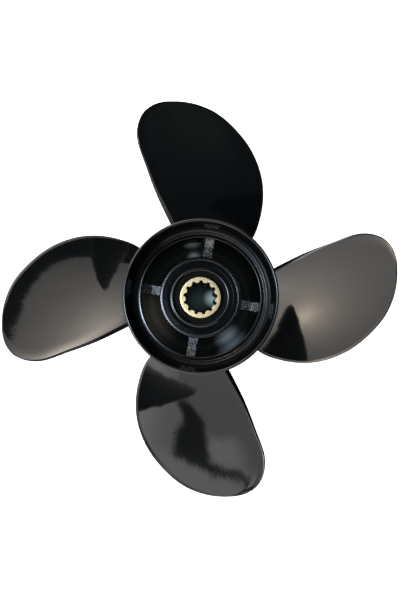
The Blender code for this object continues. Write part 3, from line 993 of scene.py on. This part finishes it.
class Studio(Graph):
    """The world, drawn by the direction that a ray leaves in."""

    def __init__(self, name):
        self.world = bpy.data.worlds.new(name)
        super().__init__(self.world, "Background")
        direction = self.node("ShaderNodeTexCoord", {}, {}, "Generated")
        x, y, z = (self.node("ShaderNodeSeparateXYZ", {}, {"Vector": direction}, axis) for axis in "XYZ")
        self.turn = self.calculate("ARCTAN2", y * -1.0, x * -1.0) * math.degrees(1.0)
        self.rise = self.calculate("ARCSINE", z) * math.degrees(1.0)

    def lamp(self, turn, rise, width, height):
        """A bright spot with a wide faint halo, as a lamp behind a white cloth makes."""
        across = (self.turn - turn) * (1.0 / width)
        upward = (self.rise - rise) * (1.0 / height)
        away = self.calculate("SQRT", across * across + upward * upward + LAMP_CORE)
        return self.calculate("EXPONENT", away * -1.0)


# %% [markdown]
# ## Three panels
# Each side has its own function. It gives where its panel covers the room and how bright it
# is there, as one number for each direction. A panel is a few edges multiplied together, and
# each edge has its own softness. The far panel has a rounded upper corner. The left one leaves
# a dark gap between its first sheet, its second sheet and a bright window in the second. The
# blade that points down in the picture mirrors this gap as a dark patch with an arm.

# %% Far and near panel
WARM_WHITE = (1.03, 1.0, 0.97, 1.0)
DARK_ROOM = (0.042, 0.051, 0.056, 1.0)
FAR_CORNER = (-127.0, 46.8)
FAR_CORNER_SIZE = 80.0
FAR_EDGE = -56.0
NEAR_EDGES = (34.0, 128.0)
NEAR_TOP = 60.0
NEAR_LEVEL = 1.16
PANEL_FOOT = -2.0


def far_panel(studio):
    """How far the panel on the far side covers the room."""
    past_edge = (studio.turn - FAR_CORNER[0]).most(0.0)
    under_top = (FAR_CORNER[1] - studio.rise).most(0.0)
    inside = studio.above(past_edge * under_top, FAR_CORNER_SIZE, 20.0)
    return inside * studio.below(studio.turn, FAR_EDGE, 8.0)


def far_level(studio):
    """How bright it is: dim below its foot, and a little brighter away from its outer edge."""
    above_foot = studio.above(studio.rise, PANEL_FOOT, 6.0)
    return 0.4 + above_foot * (0.32 + 0.2 * studio.above(studio.turn, -114.0, 12.0))


def near_panel(studio):
    """How far the panel on the near side covers the room."""
    upright = studio.below(studio.rise, NEAR_TOP, 8.0) * studio.above(studio.rise, PANEL_FOOT, 6.0)
    return studio.between(studio.turn, *NEAR_EDGES, 8.0) * upright


# %% Left panel
LEFT_EDGES = (-56.0, 34.0)
LEFT_TOP = 55.0
FOLD_RISE = 30.5
FOLD_HALF_HEIGHT = 7.0
FOLD_DEPTH = 4.0
SECOND_LEVEL = 1.13
WINDOW_TOP = 44.0
WINDOW_SLANT = 0.18


def left_gap(studio):
    """The dark gap in the second sheet: a broad part, and an arm along its top."""
    turn, rise = studio.turn, studio.rise
    broad = studio.above(rise - turn, 39.25, 3.5) * studio.above(rise, 22.0, 6.0)
    broad = broad * studio.below(turn, -10.0, 2.0)
    arm = studio.above(rise - turn * WINDOW_SLANT, WINDOW_TOP + 0.05, 1.1) * studio.below(turn, 2.0, 6.0)
    return broad.most(arm)


def left_window(studio):
    """The bright window under the arm of the gap."""
    turn, rise = studio.turn, studio.rise
    across = studio.above(turn, -9.1, 2.2) * studio.below(turn, 3.0, 8.0)
    upright = studio.above(rise, 35.25, 4.5) * studio.below(rise - turn * WINDOW_SLANT, WINDOW_TOP, 1.2)
    return across * upright


def left_light(studio):
    """The brightness on the left: a first sheet towards the far side, and a second one."""
    turn, rise = studio.turn, studio.rise
    from_fold = (rise - FOLD_RISE) * (1.0 / FOLD_HALF_HEIGHT)
    fold = (1 - from_fold * from_fold).most(0.0)
    edge = turn - fold * fold * FOLD_DEPTH
    first = studio.below(edge, -25.25, 4.5).most(studio.above(rise - turn * 0.15, 46.7, 1.6))
    first_level = 1.7 + 0.9 * studio.below(turn, -36.0, 18.0)
    first_level = first_level.most(2.2 * studio.above(rise, 39.5, 7.0))
    second_level = SECOND_LEVEL * (1 - left_gap(studio) * 0.97) + left_window(studio) * 1.1
    sheets = first * first_level + (1 - first) * second_level
    return studio.between(turn, *LEFT_EDGES, 7.0) * studio.below(rise, LEFT_TOP, 3.0) * sheets


# %% [markdown]
# ## The world
# The three panels are added up over a nearly black room. Then come the lamps that make the warm
# glow on the panels, each kept within its own cover, the faint glow of the room on the right,
# and daylight above the left panel. Each light is a place with a size, a strength and a tint.

# %% World
LAMP_CORE = 0.05
FAR_LAMP = ((-62.0, 15.6, 14.7, 10.1), 18.0, (1.13, 1.0, 0.86))
NEAR_LAMP = ((70.1, 25.8, 7.7, 7.1), 7.6, (1.22, 1.0, 0.78))
SIDE_LAMP = ((89.4, 2.0, 13.7, 31.0), 2.9, (1.12, 1.0, 0.9))
ROOM_GLOW = ((180.0, 46.0, 400.0, 9.0), 0.12, (1.0, 1.05, 0.95))
ROOM_GLOW_EDGE = 157.5
DAYLIGHT = ((9.0, 65.0, 12.0, 5.0), 68.0, (0.85, 1.0, 1.22))
FLOOR_SHADE = -42.5


def light_studio():
    """Panels, then the lamps that light them, then daylight from above."""
    studio = Studio("studio")
    turn, rise = studio.turn, studio.rise
    far, near = far_panel(studio), near_panel(studio)
    level = far * far_level(studio) + left_light(studio) + near * NEAR_LEVEL
    level = level * studio.above(rise, FLOOR_SHADE, 25.0)
    lit = studio.mix(level, (0.0, 0.0, 0.0, 1.0), WARM_WHITE)
    colour = studio.mix(1.0, DARK_ROOM, lit, "ADD")
    on_the_right = studio.above(turn, ROOM_GLOW_EDGE, 15.0).most(studio.below(turn, -ROOM_GLOW_EDGE, 15.0))
    lights = (
        (far * studio.above(rise, -0.5, 11.0), FAR_LAMP),
        (near, NEAR_LAMP),
        (near, SIDE_LAMP),
        (studio.above(rise, LEFT_TOP, 4.0), DAYLIGHT),
        (on_the_right, ROOM_GLOW),
    )
    for cover, (place, strength, tint) in lights:
        tinted = tuple(strength * part for part in tint) + (1.0,)
        colour = studio.mix(studio.lamp(*place) * cover, colour, tinted, "ADD")
    seen = studio.node("ShaderNodeLightPath", {}, {}, "Is Camera Ray")
    colour = studio.mix(seen, colour, (1.0, 1.0, 1.0, 1.0))
    studio.feed(studio.shader, {"Color": colour, "Strength": 1.0})
    return studio.world


bpy.context.scene.world = light_studio()
bpy.context.scene.view_settings.view_transform = "Standard"
print("the world has", len(bpy.context.scene.world.node_tree.nodes), "nodes")
